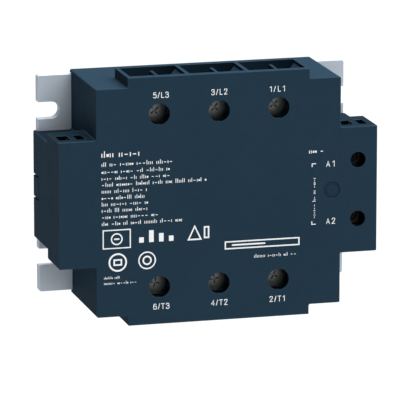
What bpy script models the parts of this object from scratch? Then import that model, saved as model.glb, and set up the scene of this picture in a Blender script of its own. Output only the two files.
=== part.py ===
"""Three-phase panel-mount solid state relay, built up from its separate pieces.

The relay stands upright: +Z is up, the labelled front faces -Y and +X is to the right of a reader.
The origin is the centre of the base plate's back face, which lies in the plane y = 0.
Lengths in this file are millimetres and become metres when a mesh is made.
Depths are counted backwards from the front face, so depth 0 is the front and DEPTH is the panel.
"""

import math

import bmesh
import bpy
from mathutils import Vector

MM = 0.001
GAP = 0.3  # clearance kept between two solids that touch in the real relay

# Outside of the housing
DEPTH = 36.3  # panel to front face
BODY_X, BODY_Z = 39.6, 36.4  # half sizes
WING_X, WING_Z = 51.6, 20.25  # control wings, front part
WING_REAR_Z = 17.3  # control wings, rear part
TOWER_X, TOWER_Z, TOWER_BACK = 29.4, 39.6, 16.9  # power terminal blocks
FRONT_BLOCK = 15.8  # depth where the wings' front part ends
HOUSING_BACK = 34.8
STEP_X, STEP_DEPTH = 47.2, 21.5  # the right wing's inner step reaches further back
WALL = 1.6
FRONT_WALL = 2.2

# Base plate and its four open slots
PLATE_X, PLATE_Z, PLATE_T = 50.4, 35.1, 3.2
PLATE_FRONT = DEPTH - PLATE_T
PLATE_CORNER = 0.8
SLOT_Z, SLOT_WIDTH, SLOT_END_X = 23.8, 5.4, 43.35

# Power terminals: three columns, a line terminal above and a load terminal below
PITCH = 19.35
COLUMNS = (("3", -PITCH), ("2", 0.0), ("1", PITCH))
ROWS = (("l", 1), ("t", -1))
SCREW_Z = 27.6
CELL_OUTER_X, PARTITION_X, PARTITION_T = (-28.1, 28.5), 9.6, 1.3
CELL_FRONT, CELL_BACK, CELL_FLOOR_Z = 2.4, 16.2, 22.0
CELL_TOP_CUT_Z = TOWER_Z + 1.0
CELL_SPANS = (
    (CELL_OUTER_X[0], -PARTITION_X - PARTITION_T / 2),
    (-PARTITION_X + PARTITION_T / 2, PARTITION_X - PARTITION_T / 2),
    (PARTITION_X + PARTITION_T / 2, CELL_OUTER_X[1]),
)
DIVIDER_T, DIVIDER_BACK, DIVIDER_LOW_Z = 1.0, 10.3, 34.0
LEDGE_DROP, LEDGE_T, LEDGE_WIDE = 0.96, 1.0, 5.8

GUIDE_R = 3.4  # screwdriver guide hole
HEAD_TOP, HEAD_T, HEAD_R = 6.3, 2.0, 3.8  # wider than its guide hole, which keeps it captive
SHANK_R, SHANK_HOLE_R, SHANK_END = 2.0, 2.3, 14.5
CLAMP_FRONT, CLAMP_T, CLAMP_X = 8.6, 1.2, 6.0
CLAMP_NEAR, CLAMP_FAR, CLAMP_LIP = 4.5, 5.6, 1.3  # reach from the screw along Z
BAR_FRONT, BAR_T, BAR_X = 10.1, 1.6, 6.0
BAR_START_Z, BAR_END_Z = 22.5, 33.0
TAIL_X, LEG_Z = 3.0, 17.2
FOOT_END_Z = 11.5

# Control terminals in the right wing, and the empty pockets that match them in the left wing
CONTROL_X, CONTROL_Z = 45.3, 9.5
POCKET_CENTRES = (-46.3, CONTROL_X)  # the two wings' pockets are copies, not mirror images
POCKET_HALF_X, POCKET_Z, POCKET_BACK, POCKET_WALL = 4.15, (3.5, 18.2), 14.8, 1.5
WIDE_WINDOW, NARROW_WINDOW = (-4.1, -0.45), (1.55, 4.1)  # spans in X from a pocket's centre
WINDOW_DEPTH = (3.6, 10.0)
FIN_LOW_Z = 14.6
GUSSET_WIDE, GUSSET_DROP, GUSSET_T = 2.1, 0.5, 0.9
CONTROL_GUIDE_R = 2.5
CONTROL_HEAD_TOP, CONTROL_HEAD_T, CONTROL_HEAD_R = 6.5, 1.8, 2.2
CONTROL_SHANK_R, CONTROL_HOLE_R, CONTROL_SHANK_END = 1.5, 1.8, 12.6
CONTROL_CLAMP_FRONT, CONTROL_CLAMP_T, CONTROL_CLAMP_X = 8.6, 0.8, 3.2
CONTROL_CLAMP_NEAR, CONTROL_CLAMP_FAR, CONTROL_CLAMP_LIP = 3.0, 4.0, 0.8
CONTROL_BAR_FRONT, CONTROL_BAR_T, CONTROL_BAR_X = 9.7, 0.8, 3.1
CONTROL_BAR_Z = (4.0, 13.5)
CONTROL_TAIL_X = (44.1, 46.5)

# Screw heads, as shares of the head's thickness and radius
RIM, RECESS_DEPTH = 0.25, 0.40
ARM_HALF, ARM = 0.08, 0.46
SHANK_BEVEL = 0.5

# Snap tabs at the wings' back edges
TAB_CENTRE_Z, TAB_HALF_Z = -0.45, 3.35
TAB_SLIT, TAB_DEPTH, TAB_GROOVE = 0.6, 7.0, 0.45

# Electronics
BOARD_X, BOARD_Z, BOARD_FRONT, BOARD_T = (-37.2, 48.5), 15.0, 17.0, 1.6
BOARD_FACE = BOARD_FRONT - GAP  # parts on the board end here
POST_X, POST_Z, POST_HALF = 34.5, 12.0, 1.3
CHIP_HALF_X, CHIP_SHOULDER, CHIP_HEIGHT, CHIP_LEAN = 3.2, 2.6, 3.5, 0.35
OPTO_HALF_Z = 4.4
INPUT_X = 28.5  # the input rectifier above and the input resistor below
BRIDGE_Z, BRIDGE_HALF_Z = 7.5, 4.0
RESISTOR_R, RESISTOR_LIFT, RESISTOR_Z = 1.8, 2.0, (-11.0, -2.0)
CAN_X, CAN_R, CAN_HEIGHT, CAN_BEVEL = -31.0, 4.0, 10.5, 0.5
LED_X, LED_Z, LED_R, LED_HEIGHT, LED_DOME = 36.8, 0.2, 1.5, 3.6, 0.6
WINDOW_HOLE_R, WINDOW_R, WINDOW_FRONT, WINDOW_BEVEL = 2.65, 2.3, 0.2, 0.2
PIPE_R, PIPE_FLANGE_R, PIPE_FLANGE_T = 1.5, 3.0, 0.8
SUBSTRATE_X, SUBSTRATE_Z, SUBSTRATE_T = 8.6, 20.0, 1.0
SUBSTRATE_BACK = PLATE_FRONT - GAP
SUBSTRATE_FRONT = SUBSTRATE_BACK - SUBSTRATE_T
FOOT_BACK = SUBSTRATE_FRONT - GAP
DIE_OFFSET_X, DIE_OFFSET_Z, DIE_HALF, DIE_T = 3.8, 5.0, 3.5, 0.5
DIE_FRONT = FOOT_BACK - DIE_T
STRIP_HALF, STRIP_T = 2.0, 0.5
STRIP_NEAR, STRIP_FAR, STRIP_FOOT = 2.0, 13.5, 2.0
PIN_HALF, PIN_FROM_DIE_X, PIN_FROM_DIE_Z = 0.35, 2.8, 2.8
POTTING = (22.0, 29.2)

BLUE = (0.019, 0.040, 0.061, 1)
NICKEL = (0.36, 0.40, 0.44, 1)
TINNED = (0.62, 0.60, 0.56, 1)
ZINC = (0.55, 0.56, 0.58, 1)
STEEL = (0.12, 0.12, 0.12, 1)
COPPER = (0.72, 0.36, 0.20, 1)
CERAMIC = (0.80, 0.80, 0.77, 1)
SILICON = (0.10, 0.11, 0.13, 1)
BOARD_GREEN = (0.02, 0.14, 0.06, 1)
EPOXY_BLACK = (0.015, 0.015, 0.016, 1)
GEL = (0.30, 0.31, 0.33, 1)
SMOKED = (0.03, 0.06, 0.09, 1)
LED_GREEN = (0.10, 0.55, 0.16, 1)
RESISTOR_GREY = (0.33, 0.36, 0.33, 1)


def material(name, colour, roughness, metallic=0.0):
    """A Principled BSDF, made once for each name."""
    found = bpy.data.materials.get(name)
    if found:
        return found
    made = bpy.data.materials.new(name)
    made.use_nodes = True
    shader = made.node_tree.nodes["Principled BSDF"]
    shader.inputs["Base Color"].default_value = colour
    shader.inputs["Roughness"].default_value = roughness
    shader.inputs["Metallic"].default_value = metallic
    made.diffuse_color = colour
    return made


def y_at(depth):
    """The y of a plane this far behind the front face."""
    return depth - DEPTH


def span(low, high):
    return (min(low, high), max(low, high))


def add_prism(mesh, outline, axis, low, high):
    """A straight prism: the outline's points are the two other axes in X, Y, Z order."""
    order = {"X": (1, 2, 0), "Y": (0, 2, 1), "Z": (0, 1, 2)}[axis]
    rings = []
    for end in (low, high):
        ring = []
        for first, second in outline:
            point = [0.0, 0.0, 0.0]
            for index, value in zip(order, (first, second, end)):
                point[index] = value
            ring.append(mesh.verts.new(point))
        rings.append(ring)
    faces = [mesh.faces.new(rings[0]), mesh.faces.new(rings[1])]
    for index in range(len(outline)):
        following = (index + 1) % len(outline)
        side = (rings[0][index], rings[0][following], rings[1][following], rings[1][index])
        faces.append(mesh.faces.new(side))
    bmesh.ops.recalc_face_normals(mesh, faces=faces)


def add_box(mesh, x, depth, z):
    """A cuboid from its spans in x, in depth behind the front face, and in z."""
    (x0, x1), (z0, z1) = span(*x), span(*z)
    outline = ((x0, z0), (x1, z0), (x1, z1), (x0, z1))
    add_prism(mesh, outline, "Y", y_at(depth[0]), y_at(depth[1]))


def add_turned(mesh, x, z, profile, segments):
    """A solid turned about a line along Y through (x, z). The profile is (depth, radius) pairs."""
    rings = []
    for depth, radius in profile:
        ring = []
        for index in range(segments):
            angle = 2 * math.pi * index / segments
            point = (x + radius * math.cos(angle), y_at(depth), z + radius * math.sin(angle))
            ring.append(mesh.verts.new(point))
        rings.append(ring)
    faces = [mesh.faces.new(rings[0]), mesh.faces.new(rings[-1])]
    for ring, deeper in zip(rings, rings[1:]):
        for index in range(segments):
            following = (index + 1) % segments
            side = (ring[index], ring[following], deeper[following], deeper[index])
            faces.append(mesh.faces.new(side))
    bmesh.ops.recalc_face_normals(mesh, faces=faces)


def place(name, mesh, finish=None, origin=(0.0, 0.0, 0.0), smooth=False):
    """Turns a mesh in millimetres into an object in metres with its origin where asked."""
    for vert in mesh.verts:
        vert.co = (vert.co - Vector(origin)) * MM
    data = bpy.data.meshes.new(name)
    mesh.to_mesh(data)
    mesh.free()
    obj = bpy.data.objects.new(name, data)
    obj.location = [value * MM for value in origin]
    bpy.context.collection.objects.link(obj)
    if finish:
        data.materials.append(finish)
    if smooth:
        data.shade_smooth()
        data.set_sharp_from_angle(angle=math.radians(35))
    return obj


def apply_tool(obj, mesh, operation):
    """Joins or cuts a helper solid, which stays in the file as a wire object."""
    tool = place(f"{obj.name}.tool{len(obj.modifiers)}", mesh)
    tool.hide_render = True
    tool.display_type = "WIRE"
    modifier = obj.modifiers.new(operation.title(), "BOOLEAN")
    modifier.operation = operation
    modifier.object = tool
    modifier.solver = "EXACT"


def four_fold(quarter):
    """A closed outline from its points in the first quarter, from the x axis round to the z axis."""
    upper = list(quarter) + [(-x, z) for x, z in reversed(quarter)]
    return upper + [(-x, -z) for x, z in upper]


def housing_front_outline():
    return four_fold(
        (
            (WING_X, WING_Z),
            (BODY_X, WING_Z),
            (BODY_X, BODY_Z),
            (TOWER_X, BODY_Z),
            (TOWER_X, TOWER_Z),
        )
    )


def rear_outline(inset):
    """The housing's outline behind the terminal blocks, moved inwards by the inset."""
    return four_fold(
        (
            (WING_X - inset, WING_REAR_Z - inset),
            (BODY_X - inset, WING_REAR_Z - inset),
            (BODY_X - inset, BODY_Z - inset),
        )
    )


def front_cavity_outline():
    """Space behind the front wall, between and beside the power cells and the control pockets."""
    beside_pocket_x = CONTROL_X - POCKET_HALF_X - POCKET_WALL
    return four_fold(
        (
            (WING_X - WALL, POCKET_Z[0] - POCKET_WALL),
            (beside_pocket_x, POCKET_Z[0] - POCKET_WALL),
            (beside_pocket_x, POCKET_Z[1]),
            (BODY_X - WALL, POCKET_Z[1]),
            (BODY_X - WALL, BODY_Z - WALL),
            (TOWER_X, BODY_Z - WALL),
            (TOWER_X, CELL_FLOOR_Z - WALL),
        )
    )


def mirrored(low_high, side):
    """A span on the other side of zero when side is -1."""
    return span(low_high[0] * side, low_high[1] * side)


def build_housing():
    shell = bmesh.new()
    add_prism(shell, housing_front_outline(), "Y", y_at(0), y_at(FRONT_BLOCK))
    housing = place("housing", shell, material("housing_blue", BLUE, 0.45))

    rear = bmesh.new()
    add_prism(rear, rear_outline(0), "Y", y_at(FRONT_BLOCK - 1), y_at(HOUSING_BACK))
    apply_tool(housing, rear, "UNION")

    step = bmesh.new()
    add_box(step, (BODY_X - 1, STEP_X), (FRONT_BLOCK - 1, STEP_DEPTH), (-WING_Z, WING_Z))
    apply_tool(housing, step, "UNION")

    rear_cavity = bmesh.new()
    rear_cavity_front = FRONT_BLOCK + 0.6
    add_prism(rear_cavity, rear_outline(WALL), "Y", y_at(rear_cavity_front), y_at(DEPTH))
    apply_tool(housing, rear_cavity, "DIFFERENCE")

    front_cavity = bmesh.new()
    add_prism(
        front_cavity, front_cavity_outline(), "Y", y_at(FRONT_WALL), y_at(rear_cavity_front + 0.1)
    )
    apply_tool(housing, front_cavity, "DIFFERENCE")

    for _, side in ROWS:
        behind = bmesh.new()
        tower_z = mirrored((CELL_FLOOR_Z - WALL / 2, TOWER_Z), side)
        add_box(behind, (-TOWER_X, TOWER_X), (FRONT_BLOCK - 0.5, TOWER_BACK), tower_z)
        apply_tool(housing, behind, "UNION")

    recess = bmesh.new()
    reach_x, reach_z = PLATE_X + GAP, PLATE_Z + GAP
    add_box(recess, (-reach_x, reach_x), (PLATE_FRONT - GAP, DEPTH), (-reach_z, reach_z))
    apply_tool(housing, recess, "DIFFERENCE")

    apply_tool(housing, terminal_spaces(), "DIFFERENCE")
    apply_tool(housing, wire_windows(), "DIFFERENCE")
    apply_tool(housing, ribs(), "UNION")
    apply_tool(housing, front_holes(), "DIFFERENCE")
    apply_tool(housing, strip_slots(), "DIFFERENCE")
    apply_tool(housing, tab_slits(), "DIFFERENCE")
    apply_tool(housing, tab_grooves(), "DIFFERENCE")


def terminal_spaces():
    """The six power cells and the four control pockets."""
    spaces = bmesh.new()
    for _, side in ROWS:
        for cell in CELL_SPANS:
            top = mirrored((CELL_FLOOR_Z, CELL_TOP_CUT_Z), side)
            add_box(spaces, cell, (CELL_FRONT, CELL_BACK), top)
        for centre in POCKET_CENTRES:
            pocket = (centre - POCKET_HALF_X, centre + POCKET_HALF_X)
            add_box(spaces, pocket, (CELL_FRONT, POCKET_BACK), mirrored(POCKET_Z, side))
    return spaces


def wire_windows():
    """Two openings in the end wall of each control pocket."""
    windows = bmesh.new()
    for _, side in ROWS:
        through = mirrored((POCKET_Z[1] - 1, WING_Z + 1), side)
        for centre in POCKET_CENTRES:
            for low, high in (WIDE_WINDOW, NARROW_WINDOW):
                add_box(windows, (centre + low, centre + high), WINDOW_DEPTH, through)
    return windows


def ribs():
    """Half dividers, corner ledges, pocket fins and board posts. Each one starts inside a wall."""
    bite = 0.4
    set_back = 0.15  # keeps a rib's faces off the planes of the openings beside it
    added = bmesh.new()
    for _, side in ROWS:
        for (_, column_x), (_, right) in zip(COLUMNS, CELL_SPANS):
            divider = (column_x - DIVIDER_T / 2, column_x + DIVIDER_T / 2)
            tall = mirrored((DIVIDER_LOW_Z, TOWER_Z - set_back), side)
            add_box(added, divider, (CELL_FRONT - bite, DIVIDER_BACK), tall)
            ledge_top = TOWER_Z - LEDGE_DROP
            ledge_z = mirrored((ledge_top - LEDGE_T, ledge_top), side)
            add_corner(added, right, LEDGE_WIDE, (CELL_FRONT, CELL_BACK), ledge_z, bite)
        for centre in POCKET_CENTRES:
            fin_x = (centre + WIDE_WINDOW[1] + set_back, centre + NARROW_WINDOW[0] - set_back)
            tall = mirrored((FIN_LOW_Z, POCKET_Z[1] + 2 * set_back), side)
            fin_back = WINDOW_DEPTH[1] - set_back
            add_box(added, fin_x, (CELL_FRONT - bite, fin_back), tall)
            gusset_top = WING_Z - GUSSET_DROP
            gusset_z = mirrored((gusset_top - GUSSET_T, gusset_top), side)
            right = centre + WIDE_WINDOW[1]
            add_corner(added, right, GUSSET_WIDE, WINDOW_DEPTH, gusset_z, bite)
        for post_x in (-POST_X, POST_X):
            post_z = side * POST_Z
            add_box(
                added,
                (post_x - POST_HALF, post_x + POST_HALF),
                (FRONT_WALL - bite, BOARD_FACE),
                (post_z - POST_HALF, post_z + POST_HALF),
            )
    return added


def add_corner(mesh, right, wide, depth, z, bite):
    """A three-cornered ledge in the front right corner of an opening, rooted in both walls."""
    front, back = depth
    outline = (
        (right + bite, y_at(front - bite)),
        (right + bite, y_at(back)),
        (right - wide, y_at(front - bite)),
    )
    add_prism(mesh, outline, "Z", *z)


def front_holes():
    """Screwdriver guide holes and the hole for the status window."""
    holes = bmesh.new()
    before = -1.0
    for _, side in ROWS:
        for _, column_x in COLUMNS:
            profile = ((before, GUIDE_R), (CELL_FRONT + 0.2, GUIDE_R))
            add_turned(holes, column_x, side * SCREW_Z, profile, 40)
        profile = ((before, CONTROL_GUIDE_R), (CELL_FRONT + 0.2, CONTROL_GUIDE_R))
        add_turned(holes, CONTROL_X, side * CONTROL_Z, profile, 32)
    profile = ((before, WINDOW_HOLE_R), (FRONT_WALL + 0.2, WINDOW_HOLE_R))
    add_turned(holes, LED_X, LED_Z, profile, 32)
    return holes


def strip_slots():
    """Slots in the cell floors and pocket backs that the terminal strips pass through."""
    slots = bmesh.new()
    room = 0.4
    for _, side in ROWS:
        for _, column_x in COLUMNS:
            add_box(
                slots,
                (column_x - TAIL_X - room, column_x + TAIL_X + room),
                (BAR_FRONT - room, BAR_FRONT + BAR_T + room),
                mirrored((CELL_FLOOR_Z - WALL - 1, CELL_FLOOR_Z + 0.2), side),
            )
        add_box(
            slots,
            (CONTROL_TAIL_X[0] - room, CONTROL_TAIL_X[1] + room),
            (POCKET_BACK - 0.2, FRONT_BLOCK + 2),
            mirrored((POCKET_Z[0], CONTROL_BAR_Z[0] + CONTROL_BAR_T + room), side),
        )
    return slots


def tab_slits():
    """A slit through the wing's end wall on both sides of each snap tab."""
    slits = bmesh.new()
    for wing in (-1, 1):
        through = mirrored((WING_X - WALL - 0.5, WING_X + 1), wing)
        for side in (-1, 1):
            low, high = mirrored((TAB_HALF_Z, TAB_HALF_Z + TAB_SLIT), side)
            slit = (TAB_CENTRE_Z + low, TAB_CENTRE_Z + high)
            add_box(slits, through, (HOUSING_BACK - TAB_DEPTH, DEPTH), slit)
    return slits


def tab_grooves():
    """A shallow groove across the root of each snap tab, from slit to slit."""
    grooves = bmesh.new()
    front = HOUSING_BACK - TAB_DEPTH
    reach = TAB_HALF_Z + TAB_SLIT / 2
    across = (TAB_CENTRE_Z - reach, TAB_CENTRE_Z + reach)
    for wing in (-1, 1):
        shallow = mirrored((WING_X - TAB_GROOVE, WING_X + 1), wing)
        add_box(grooves, shallow, (front + 0.05, front + TAB_SLIT), across)
    return grooves


def build_base_plate():
    """A flat plate with rounded corners and four slots that are open at its ends."""
    steps = 4  # faces round each corner
    outline = []
    corners = ((1, 1, 0), (-1, 1, 90), (-1, -1, 180), (1, -1, 270))
    for sign_x, sign_z, start in corners:
        centre_x = sign_x * (PLATE_X - PLATE_CORNER)
        centre_z = sign_z * (PLATE_Z - PLATE_CORNER)
        for step in range(steps + 1):
            angle = math.radians(start + 90 * step / steps)
            outline.append(
                (
                    centre_x + PLATE_CORNER * math.cos(angle),
                    centre_z + PLATE_CORNER * math.sin(angle),
                )
            )
    blank = bmesh.new()
    add_prism(blank, outline, "Y", y_at(PLATE_FRONT), y_at(DEPTH))
    plate = place("base_plate", blank, material("plate_nickel", NICKEL, 0.35, 1.0))

    slots = bmesh.new()
    half = SLOT_WIDTH / 2
    bend = SLOT_END_X + half
    arc_steps = 12  # faces round a slot's inner end
    for wing in (-1, 1):
        for _, side in ROWS:
            centre_z = side * SLOT_Z
            outline = [(wing * (PLATE_X + 1), centre_z - half), (wing * (PLATE_X + 1), centre_z + half)]
            for step in range(arc_steps + 1):
                angle = math.radians(90 + 180 * step / arc_steps)
                x = wing * (bend + half * math.cos(angle))
                outline.append((x, centre_z + half * math.sin(angle)))
            add_prism(slots, outline, "Y", y_at(PLATE_FRONT - 1), y_at(DEPTH + 1))
    apply_tool(plate, slots, "DIFFERENCE")


def build_screw(name, x, z, head, shank, turn):
    """A clamping screw with a small cross recess. Its origin is on its own axis."""
    (head_top, head_t, head_r), (shank_r, shank_end) = head, shank
    rim = RIM * head_t
    profile = (
        (head_top, head_r - rim),
        (head_top + rim, head_r),
        (head_top + head_t, head_r),
        (head_top + head_t, shank_r),
        (shank_end - SHANK_BEVEL, shank_r),
        (shank_end, shank_r - SHANK_BEVEL),
    )
    body = bmesh.new()
    add_turned(body, 0, 0, profile, 32)
    bmesh.ops.translate(body, vec=(x, 0, z), verts=body.verts)
    screw = place(name, body, material("screw_steel", STEEL, 0.4, 1.0), (x, 0, z), smooth=True)

    recess_end = head_top + RECESS_DEPTH * head_t
    cuts = bmesh.new()
    narrow, long = ARM_HALF * head_r, ARM * head_r
    arms = (
        (-long, -narrow),
        (-narrow, -narrow),
        (-narrow, -long),
        (narrow, -long),
        (narrow, -narrow),
        (long, -narrow),
        (long, narrow),
        (narrow, narrow),
        (narrow, long),
        (-narrow, long),
        (-narrow, narrow),
        (-long, narrow),
    )
    spin = math.radians(turn)
    cross = []
    for along, across in arms:
        cross.append(
            (
                x + along * math.cos(spin) - across * math.sin(spin),
                z + along * math.sin(spin) + across * math.cos(spin),
            )
        )
    add_prism(cuts, cross, "Y", y_at(head_top - 1), y_at(recess_end))
    apply_tool(screw, cuts, "DIFFERENCE")


def build_clamp_plate(name, x, z, side, sizes, reach, hole_r):
    """A pressure plate with a lip bent towards the wire entry and a hole for the screw."""
    front, thick, half_x = sizes
    to_near, to_far, lip = reach
    near, far = z - side * to_near, z + side * to_far
    bent = far - side * lip
    inside, outside = side * 0.3 * thick, side * 0.4 * thick  # the lip's two faces about its end
    profile = (
        (y_at(front), near),
        (y_at(front), bent),
        (y_at(front - lip), far - inside),
        (y_at(front - lip), far + outside),
        (y_at(front + thick), bent + outside),
        (y_at(front + thick), near),
    )
    body = bmesh.new()
    add_prism(body, profile, "X", x - half_x, x + half_x)
    plate = place(name, body, material("zinc_steel", ZINC, 0.4, 1.0), (x, 0, z))
    hole = bmesh.new()
    add_turned(hole, x, z, ((front - 1, hole_r), (front + thick + 1, hole_r)), 24)
    apply_tool(plate, hole, "DIFFERENCE")


def build_power_terminal(name, x, side):
    """A strip with a screw hole that runs through the cell floor and back to its substrate."""
    back = BAR_FRONT + BAR_T
    leg_z = (side * LEG_Z, side * (LEG_Z + BAR_T))
    into_pad = side * (BAR_START_Z + 1)
    profile = (
        (y_at(BAR_FRONT), leg_z[0]),
        (y_at(BAR_FRONT), into_pad),
        (y_at(back), into_pad),
        (y_at(back), leg_z[1]),
        (y_at(FOOT_BACK), leg_z[1]),
        (y_at(FOOT_BACK), side * FOOT_END_Z),
        (y_at(FOOT_BACK - BAR_T), side * FOOT_END_Z),
        (y_at(FOOT_BACK - BAR_T), leg_z[0]),
    )
    strip = bmesh.new()
    add_prism(strip, profile, "X", x - TAIL_X, x + TAIL_X)
    terminal = place(name, strip, material("tinned_copper", TINNED, 0.35, 1.0))
    pad = bmesh.new()
    add_box(
        pad,
        (x - BAR_X, x + BAR_X),
        (BAR_FRONT, back),
        mirrored((BAR_START_Z, BAR_END_Z), side),
    )
    apply_tool(terminal, pad, "UNION")
    hole = bmesh.new()
    profile = ((BAR_FRONT - 1, SHANK_HOLE_R), (back + 1, SHANK_HOLE_R))
    add_turned(hole, x, side * SCREW_Z, profile, 24)
    apply_tool(terminal, hole, "DIFFERENCE")


def build_control_terminal(name, side):
    """A thin strip with a screw hole and a tail that runs back to the board."""
    back = CONTROL_BAR_FRONT + CONTROL_BAR_T
    strip = bmesh.new()
    reach = (CONTROL_X - CONTROL_BAR_X, CONTROL_X + CONTROL_BAR_X)
    add_box(strip, reach, (CONTROL_BAR_FRONT, back), mirrored(CONTROL_BAR_Z, side))
    terminal = place(name, strip, material("tinned_copper", TINNED, 0.35, 1.0))
    tail = bmesh.new()
    low = CONTROL_BAR_Z[0]
    tail_z = mirrored((low, low + CONTROL_BAR_T), side)
    add_box(tail, CONTROL_TAIL_X, (CONTROL_BAR_FRONT, BOARD_FACE), tail_z)
    apply_tool(terminal, tail, "UNION")
    hole = bmesh.new()
    profile = ((CONTROL_BAR_FRONT - 1, CONTROL_HOLE_R), (back + 1, CONTROL_HOLE_R))
    add_turned(hole, CONTROL_X, side * CONTROL_Z, profile, 20)
    apply_tool(terminal, hole, "DIFFERENCE")


def build_power_terminals():
    head, shank = (HEAD_TOP, HEAD_T, HEAD_R), (SHANK_R, SHANK_END)
    sizes = (CLAMP_FRONT, CLAMP_T, CLAMP_X)
    reach = (CLAMP_NEAR, CLAMP_FAR, CLAMP_LIP)
    # The angle in degrees that each screw's cross was left at when it was tightened
    turns = {"l3": 38, "l2": 52, "l1": 128, "t3": 78, "t2": 98, "t1": 64}
    for row, side in ROWS:
        for number, x in COLUMNS:
            key = row + number
            z = side * SCREW_Z
            build_power_terminal(f"terminal_{key}", x, side)
            build_clamp_plate(f"clamp_plate_{key}", x, z, side, sizes, reach, SHANK_HOLE_R)
            build_screw(f"clamp_screw_{key}", x, z, head, shank, turns[key])


def build_control_terminals():
    head = (CONTROL_HEAD_TOP, CONTROL_HEAD_T, CONTROL_HEAD_R)
    shank = (CONTROL_SHANK_R, CONTROL_SHANK_END)
    sizes = (CONTROL_CLAMP_FRONT, CONTROL_CLAMP_T, CONTROL_CLAMP_X)
    reach = (CONTROL_CLAMP_NEAR, CONTROL_CLAMP_FAR, CONTROL_CLAMP_LIP)
    for key, side, turn in (("a1", 1, 20), ("a2", -1, 65)):
        z = side * CONTROL_Z
        build_control_terminal(f"terminal_{key}", side)
        build_clamp_plate(f"clamp_plate_{key}", CONTROL_X, z, side, sizes, reach, CONTROL_HOLE_R)
        build_screw(f"clamp_screw_{key}", CONTROL_X, z, head, shank, turn)


def build_power_stage():
    """For each phase: a ceramic substrate, two thyristor dies, their strips and gate pins."""
    ceramic = material("substrate_ceramic", CERAMIC, 0.5)
    silicon = material("die_silicon", SILICON, 0.3)
    copper = material("copper_strip", COPPER, 0.35, 1.0)
    for number, x in COLUMNS:
        body = bmesh.new()
        across = (x - SUBSTRATE_X, x + SUBSTRATE_X)
        add_box(body, across, (SUBSTRATE_FRONT, SUBSTRATE_BACK), (-SUBSTRATE_Z, SUBSTRATE_Z))
        place(f"substrate_{number}", body, ceramic)
        # The upper die sits on the line pad and its strip runs down to the load pad, and
        # the lower die the other way round.
        for row, side in ROWS:
            key = row + number
            die_x, die_z = x - side * DIE_OFFSET_X, side * DIE_OFFSET_Z
            body = bmesh.new()
            add_box(
                body,
                (die_x - DIE_HALF, die_x + DIE_HALF),
                (DIE_FRONT, FOOT_BACK),
                (die_z - DIE_HALF, die_z + DIE_HALF),
            )
            place(f"thyristor_die_{key}", body, silicon)
            build_strip(f"die_strip_{key}", die_x, die_z, side, copper)
            pin_x = die_x - side * PIN_FROM_DIE_X
            pin_z = die_z - side * PIN_FROM_DIE_Z
            body = bmesh.new()
            add_box(
                body,
                (pin_x - PIN_HALF, pin_x + PIN_HALF),
                (BOARD_FRONT + BOARD_T + GAP, DIE_FRONT - GAP),
                (pin_z - PIN_HALF, pin_z + PIN_HALF),
            )
            place(f"gate_pin_{key}", body, copper)


def build_strip(name, die_x, die_z, side, finish):
    """A flat strip from the top of a die over to the far pad, where it steps down."""
    high = DIE_FRONT - GAP - STRIP_T
    start, end = die_z + side * STRIP_NEAR, die_z - side * STRIP_FAR
    inner = end + side * STRIP_T
    profile = (
        (y_at(high), start),
        (y_at(high), end),
        (y_at(FOOT_BACK - STRIP_T), end),
        (y_at(FOOT_BACK - STRIP_T), end - side * STRIP_FOOT),
        (y_at(FOOT_BACK), end - side * STRIP_FOOT),
        (y_at(FOOT_BACK), inner),
        (y_at(high + STRIP_T), inner),
        (y_at(high + STRIP_T), start),
    )
    body = bmesh.new()
    add_prism(body, profile, "X", die_x - STRIP_HALF, die_x + STRIP_HALF)
    place(name, body, finish)


def build_potting():
    """The cast layer over the power stage, with room round everything that passes through it."""
    layer = bmesh.new()
    add_prism(layer, rear_outline(WALL + GAP), "Y", y_at(POTTING[0]), y_at(POTTING[1]))
    potting = place("potting_layer", layer, material("potting_gel", GEL, 0.4))
    holes = bmesh.new()
    past = (POTTING[0] - 1, POTTING[1] + 1)
    for _, x in COLUMNS:
        for _, side in ROWS:
            leg_z = mirrored((LEG_Z - GAP, LEG_Z + BAR_T + GAP), side)
            add_box(holes, (x - TAIL_X - GAP, x + TAIL_X + GAP), past, leg_z)
            pin_x = x - side * (DIE_OFFSET_X + PIN_FROM_DIE_X)
            pin_z = side * (DIE_OFFSET_Z - PIN_FROM_DIE_Z)
            room = PIN_HALF + GAP
            add_box(holes, (pin_x - room, pin_x + room), past, (pin_z - room, pin_z + room))
    apply_tool(potting, holes, "DIFFERENCE")


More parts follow.
